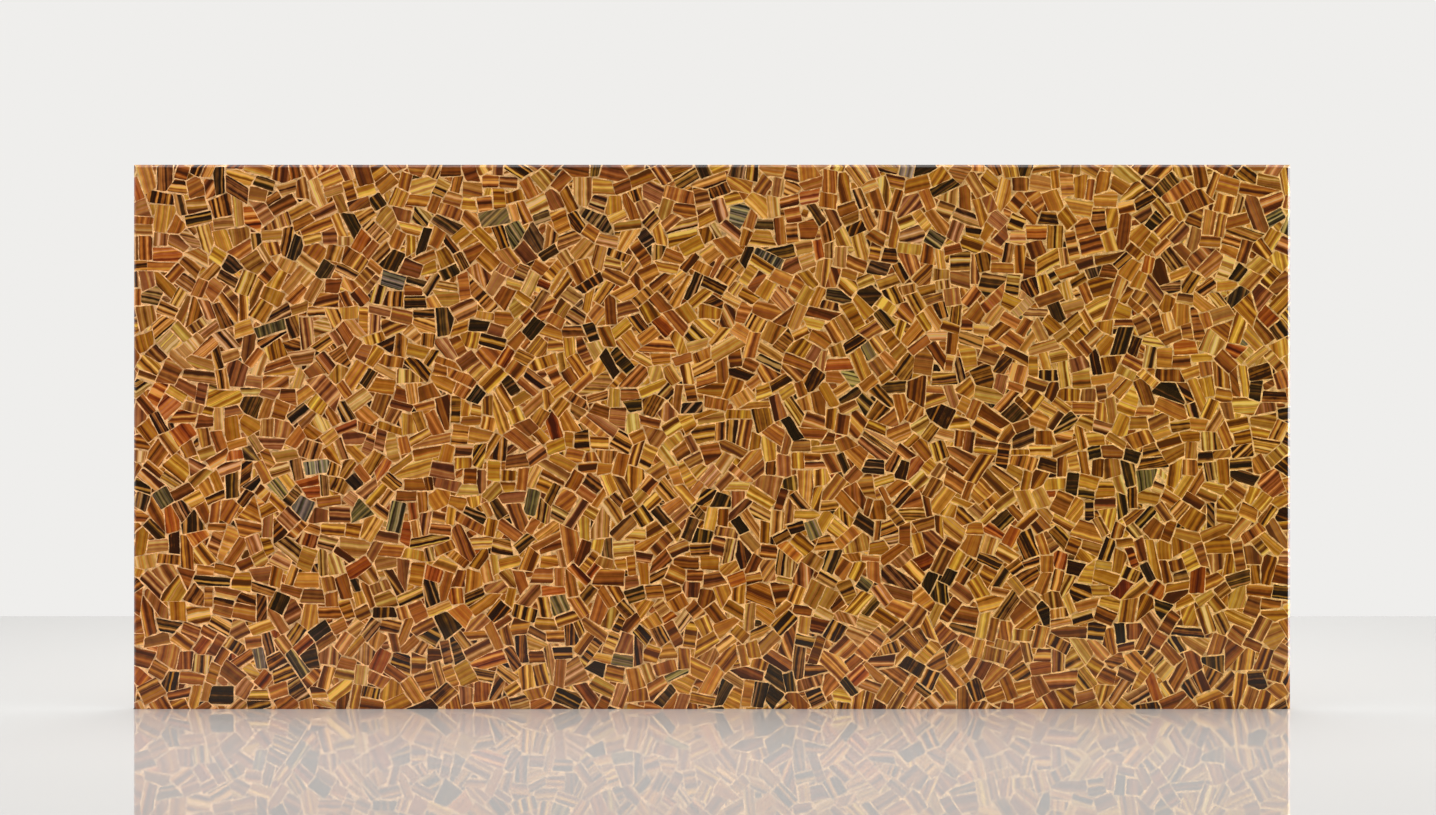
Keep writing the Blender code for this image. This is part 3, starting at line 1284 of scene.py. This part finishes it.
def area_light(name, place, target, size, power, mirrored=False):
    """A soft light that faces a target, in watts; polish shows it only where asked to."""
    light = bpy.data.lights.new(name, "AREA")
    light.shape = "RECTANGLE"
    light.size, light.size_y = size
    light.energy = power
    lamp = bpy.data.objects.new(name, light)
    bpy.context.scene.collection.objects.link(lamp)
    lamp.location = place
    lamp.visible_glossy = mirrored
    lamp.visible_camera = False
    towards = np.array(target) - np.array(place)
    flat = math.hypot(towards[0], towards[1])
    lamp.rotation_euler = (math.pi / 2 + math.atan2(towards[2], flat), 0.0,
                           math.atan2(towards[1], towards[0]) - math.pi / 2)
    return lamp


def light_only(lamp, pieces):
    """Let a lamp shine on these pieces and on nothing else."""
    lit = bpy.data.collections.new("lit by the " + lamp.name)
    for piece in pieces:
        lit.objects.link(piece)
    lamp.light_linking.receiver_collection = lit


FLOOR_SIDE, FLOOR_FRONT = 12.0, -1.9  # where the floor ends, in metres
FLOOR_DROP = -0.0005  # how far the floor lies below the slab, in metres
LACQUER_IOR, LACQUER_ROUGHNESS = 1.75, 0.02
GLOSS_GAIN, GLOSS_LIMIT = 1.4, 0.45  # how the mirror image grows, and its greatest share

# Share of a heading that points back from the camera, and the backdrop's strength there.
DIM_SIDE, PALE_SIDE = (-0.5, 0.12), (0.3, 0.85)


def lacquer(name, colour):
    """White lacquer: a matt ground under gloss that grows at a low angle, up to a limit.

    To the eye: an evenly pale floor with a sharp, faint mirror image of what stands on it.
    """
    material, tree = empty_material(name)
    matt = node(tree, "ShaderNodeBsdfDiffuse", {"Color": (*colour, 1)})
    gloss = node(tree, "ShaderNodeBsdfAnisotropic", {
        "Color": (1, 1, 1, 1), "Roughness": LACQUER_ROUGHNESS})
    share = node(tree, "ShaderNodeFresnel", {"IOR": LACQUER_IOR})
    for operation, number in (("MULTIPLY", GLOSS_GAIN), ("MINIMUM", GLOSS_LIMIT)):
        share = node(tree, "ShaderNodeMath", {0: share, 1: number}, operation=operation)
    surface = node(tree, "ShaderNodeMixShader", {0: share, 1: matt, 2: gloss})
    node(tree, "ShaderNodeOutputMaterial", {"Surface": surface})
    return material


def set_backdrop(scene, colour):
    """A world that is pale behind the slab and dim behind the camera, for a deep polish."""
    world = bpy.data.worlds.new("studio")
    scene.world = world
    world.use_nodes = True
    tree = world.node_tree
    tree.nodes.clear()
    heading = node(tree, "ShaderNodeTexCoord").outputs["Generated"]
    depth = node(tree, "ShaderNodeSeparateXYZ", {0: heading}).outputs["Y"]
    share = node(tree, "ShaderNodeMapRange", {
        0: depth, 1: DIM_SIDE[0], 2: PALE_SIDE[0], 3: DIM_SIDE[1], 4: PALE_SIDE[1]})
    seen = node(tree, "ShaderNodeLightPath").outputs["Is Camera Ray"]
    strength = node(tree, "ShaderNodeMix", {"Factor": seen, 2: share, 3: 1.0})
    sky = node(tree, "ShaderNodeBackground", {"Color": (*colour, 1), "Strength": strength})
    node(tree, "ShaderNodeOutputWorld", {"Surface": sky})


class SetStage(bpy.types.Operator):
    """Set the camera, the pale floor and the soft studio lights"""

    bl_idname = "slab.set_stage"
    bl_label = "Set the stage"

    def execute(self, context):
        scene = context.scene
        place, focal_px = camera_place()
        camera = bpy.data.objects.new("camera", bpy.data.cameras.new("camera"))
        camera.data.lens = LENS_MM
        camera.data.sensor_width = SENSOR_MM
        camera.location = place
        camera.rotation_euler = (math.pi / 2, 0.0, 0.0)
        scene.collection.objects.link(camera)
        scene.camera = camera

        # The floor runs back to the line where the wall would start.
        far = place[1] + place[2] * focal_px / (FLOOR_END_PX - FRAME_PX[1] / 2)
        floor = bpy.data.meshes.new("floor")
        corners = [(-FLOOR_SIDE, FLOOR_FRONT), (FLOOR_SIDE, FLOOR_FRONT),
                   (FLOOR_SIDE, far), (-FLOOR_SIDE, far)]
        floor.from_pydata([(*corner, FLOOR_DROP) for corner in corners], [], [(0, 1, 2, 3)])
        floor.materials.append(lacquer("satin white floor", scene.slab_colours.floor))
        ground = bpy.data.objects.new("floor", floor)
        scene.collection.objects.link(ground)

        # Name, place, target, size and power of each light, and whether the polish shows it.
        middle = (0.0, 0.0, HEIGHT * MM / 2)
        right_end = (HALF_LENGTH * MM, 0.0, 0.71)
        for_slab = [
            ("key light", (-5.5, -4.5, 3.6), middle, (3.5, 3.0), 297),
            ("fill light", (5.5, -4.5, 3.0), middle, (3.5, 3.0), 241),
            ("top light", (0.0, 0.4, 4.6), middle, (6.0, 2.5), 90, True),
            ("side light", (6.0, 1.3, 1.0), middle, (3.0, 2.4), 60),
            # A strip beside the slab shines along its right eased edge.
            ("strip light", (2.22, 0.20, 0.71), right_end, (0.3, 1.7), 11, True),
        ]
        for_floor = [
            ("overhead light", (0.0, -0.4, 4.5), (0.0, -0.3, 0.0), (8.0, 4.0), 122),
            ("rear overhead light", (0.0, 0.4, 4.6), middle, (6.0, 2.5), 90),
            # A low one makes up for the light that the slab keeps off the floor at its foot.
            ("low light", (0.0, -0.25, 0.6), (0.0, -0.24, 0.0), (3.3, 0.3), 2.5),
        ]
        pieces = [item for item in scene.objects if item.type == "MESH" and item != ground]
        for rows, lit in ((for_slab, pieces), (for_floor, [ground])):
            for row in rows:
                light_only(area_light(*row), lit)
        area_light("back light", (1.5, 5.5, 3.6), middle, (4.0, 3.0), 60)

        set_backdrop(scene, scene.slab_colours.backdrop)
        scene.view_settings.view_transform = "Standard"
        return {"FINISHED"}


OPERATORS = (CastResinPlate, LayFrontChips, LayBackChips, LayEdgeChips, SetStage)


class SlabPanel(bpy.types.Panel):
    """Lists the slab's settings and operators"""

    bl_idname = "VIEW3D_PT_slab"
    bl_label = "Tiger's Eye Slab"
    bl_space_type = "VIEW_3D"
    bl_region_type = "UI"
    bl_category = "Slab"

    def draw(self, context):
        settings = context.scene.slab_mosaic
        for name in ("seed", "chip_size", "joint", "recess", "depth"):
            self.layout.prop(settings, name)
        self.layout.prop(context.scene.slab_colours, "floor")
        self.layout.prop(context.scene.slab_colours, "backdrop")
        for operator in OPERATORS:
            self.layout.operator(operator.bl_idname)


CLASSES = (SlabMosaicSettings, SlabColourSettings, *OPERATORS, SlabPanel)


def register():
    """Register the classes and hang the settings on the scene."""
    for item in CLASSES:
        bpy.utils.register_class(item)
    bpy.types.Scene.slab_mosaic = bpy.props.PointerProperty(type=SlabMosaicSettings)
    bpy.types.Scene.slab_colours = bpy.props.PointerProperty(type=SlabColourSettings)


def unregister():
    """Undo register."""
    del bpy.types.Scene.slab_colours
    del bpy.types.Scene.slab_mosaic
    for item in reversed(CLASSES):
        bpy.utils.unregister_class(item)


def main():
    """Build the slab and its stage."""
    register()
    bpy.ops.slab.cast_resin_plate()
    bpy.ops.slab.lay_front_chips()
    bpy.ops.slab.lay_back_chips()
    bpy.ops.slab.lay_edge_chips()
    bpy.ops.slab.set_stage()


if __name__ == "__main__":
    main()
